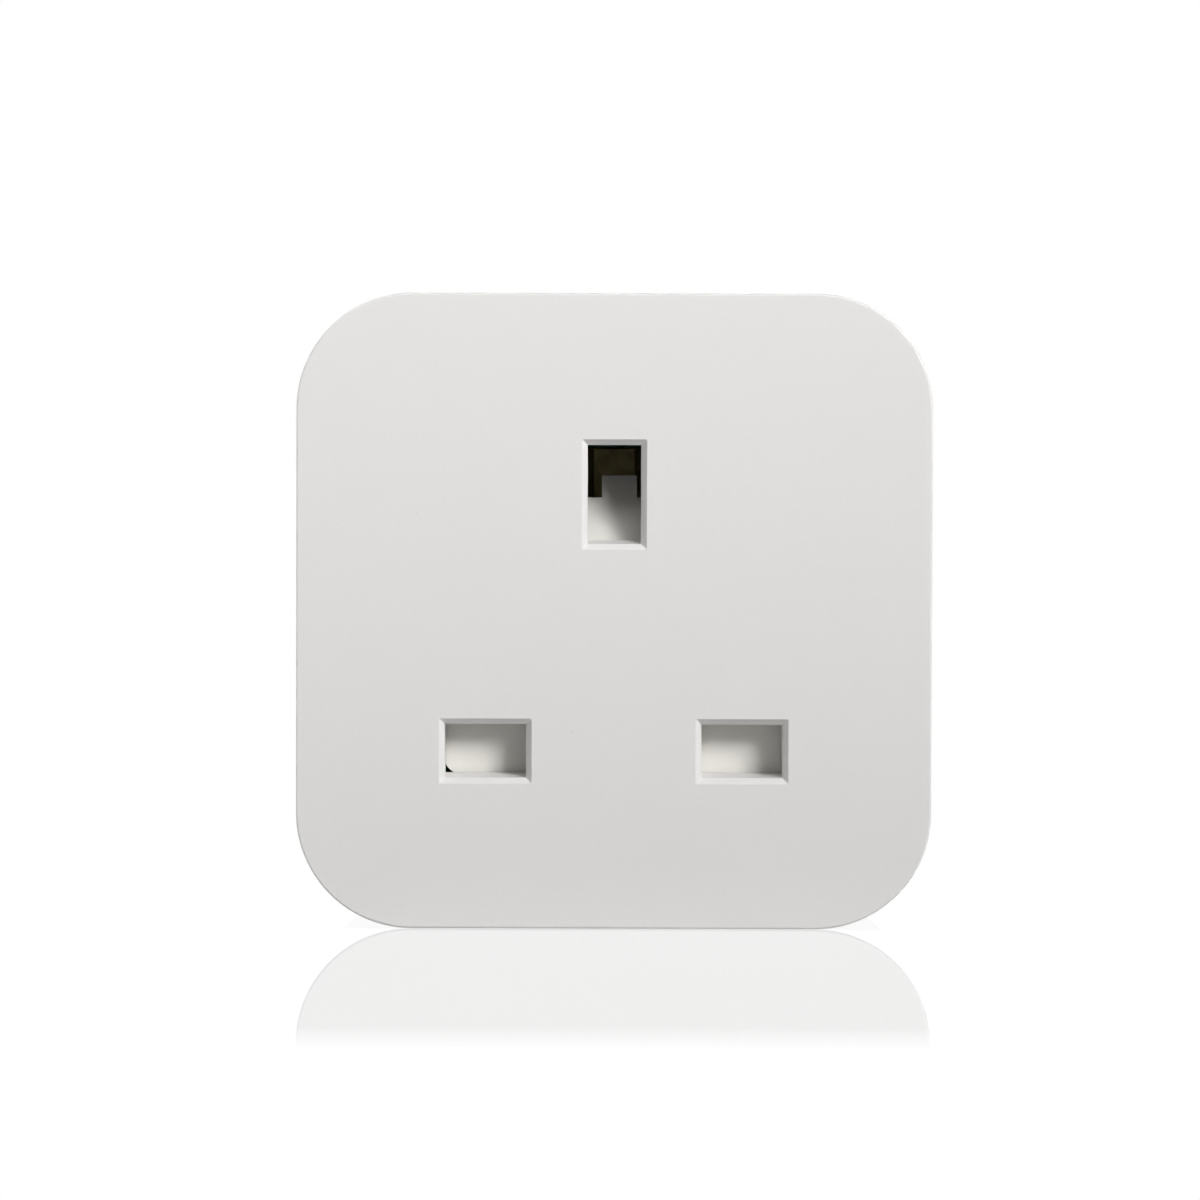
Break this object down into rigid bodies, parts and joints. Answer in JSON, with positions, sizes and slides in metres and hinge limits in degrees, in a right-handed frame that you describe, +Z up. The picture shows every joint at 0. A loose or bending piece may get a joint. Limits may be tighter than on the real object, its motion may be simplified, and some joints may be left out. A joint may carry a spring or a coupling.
{
  "type": "plug in power meter",
  "caption": "Square white plug-in power meter with a shuttered British three-pin socket in front and the matching pins behind.",
  "frame": {"origin": "centre of the flat rear face that meets the wall socket, between the pins", "axes": "+Y out of the rear face along the pins, +Z up towards the earth pin, +X towards the live pin (right, seen from the front)"},
  "size_m": [0.055, 0.0607, 0.055],
  "materials": {
    "white_shell": "fine moulded grain, satin",
    "white_inner": "smooth moulded, satin",
    "black_plastic": "smooth moulded",
    "grey_part": "sintered, matt",
    "brass": "rolled, lightly brushed",
    "steel": "zinc plated",
    "copper": "bright, lacquered",
    "board": "solder mask, semi-gloss",
    "yellow_case": "smooth box case",
    "blue_coat": "dipped epoxy",
    "amber_film": "smooth film",
    "clear": "clear, polished"
  },
  "bodies": {
    "housing": {"front_housing": "white_shell", "rear_housing": "white_shell", "case_screw_1": "steel", "case_screw_2": "steel", "case_screw_3": "steel", "case_screw_4": "steel", "carrier_screw_left": "steel", "carrier_screw_right": "steel", "clamp_screw_lower": "steel", "clamp_screw_upper": "steel", "neutral_pin": "brass", "live_pin": "brass", "earth_pin": "brass", "neutral_pin_sleeve": "black_plastic", "live_pin_sleeve": "black_plastic", "pin_clamp": "white_inner", "neutral_contact": "brass", "live_contact": "brass", "earth_contact": "brass", "socket_carrier": "white_inner", "shutter_spring": "steel", "relay_cover": "black_plastic", "relay_base": "black_plastic", "relay_bobbin": "white_inner", "relay_winding": "copper", "relay_yoke": "steel", "relay_fixed_contact": "copper", "power_board": "board", "film_capacitor": "yellow_case", "bulk_capacitor": "black_plastic", "transformer_core": "grey_part", "transformer_bobbin": "black_plastic", "transformer_winding": "amber_film", "varistor": "blue_coat", "choke": "grey_part", "fuse_resistor": "board", "current_shunt": "copper", "metering_chip": "black_plastic", "bridge_rectifier": "black_plastic", "board_header": "black_plastic", "control_board": "board", "insulating_sheet": "amber_film", "radio_shield": "steel", "antenna": "copper", "tact_switch_body": "black_plastic", "status_led": "clear", "light_pipe": "clear"},
    "shutter": {"shutter": "white_inner"},
    "button": {"button_cap": "white_shell"},
    "switch_plunger": {"switch_plunger": "grey_part"},
    "relay_armature": {"relay_armature": "steel", "relay_contact_spring": "copper"}
  },
  "joints": [
    {"name": "shutter_slide", "type": "slide", "parent": "housing", "child": "shutter", "axis": [0, 0, -1], "range_m": [0, 0.0057], "stiffness_N_per_m": 150, "springref_m": -0.004, "deforming": ["shutter_spring"]},
    {"name": "button_press", "type": "slide", "parent": "housing", "child": "button", "axis": [0, 0, -1], "range_m": [0, 0.0005], "stiffness_N_per_m": 1500, "springref_m": -0.0005},
    {"name": "plunger_press", "type": "slide", "parent": "housing", "child": "switch_plunger", "axis": [0, 0, -1], "range_m": [0, 0.00025]},
    {"name": "relay_hinge", "type": "hinge", "parent": "housing", "child": "relay_armature", "pos_m": [-0.0175, -0.0139, 0.0022], "axis": [-1, 0, 0], "range_deg": [0, 3.7], "stiffness_Nm_per_rad": 0.02, "springref_deg": -5.73}
  ],
  "couplings": [
    {"joint": "plunger_press", "follows": "button_press", "ratio": 0.5}
  ]
}
